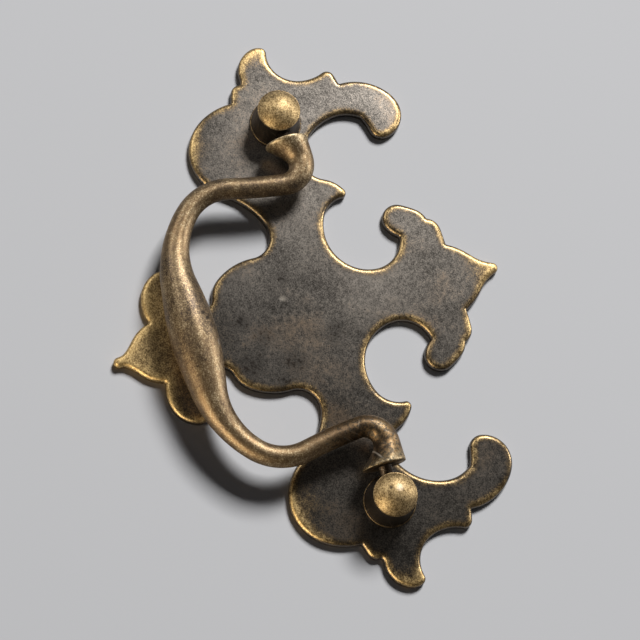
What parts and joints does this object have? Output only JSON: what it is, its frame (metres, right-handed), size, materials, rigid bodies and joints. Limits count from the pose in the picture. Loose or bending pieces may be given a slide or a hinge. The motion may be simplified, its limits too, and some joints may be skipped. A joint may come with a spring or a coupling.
{
  "type": "drawer pull",
  "caption": "Swan-neck bail drawer pull in antique brass: flat scrolled backplate, domed posts, and a swelling drop bail that swings on pins.",
  "frame": {"origin": "midway between the two posts, on the plate's back face", "axes": "+X from the left post to the right post, +Y up in use, +Z out of the drawer front"},
  "size_m": [0.109, 0.0756, 0.011],
  "materials": {
    "plate_brass": "dark antique patina, worn bright along the rounded edge",
    "post_brass": "antique patina, domed head rubbed bright",
    "bail_brass": "speckled antique patina, rubbed on the grip"
  },
  "bodies": {
    "plate_and_posts": {"backplate": "plate_brass", "post_left": "post_brass", "post_right": "post_brass"},
    "bail": {"bail": "bail_brass"}
  },
  "joints": [
    {"name": "bail_swing", "type": "hinge", "parent": "plate_and_posts", "child": "bail", "pos_m": [0, 0, 0.0067], "axis": [-1, 0, 0], "range_deg": [0, 175]}
  ]
}
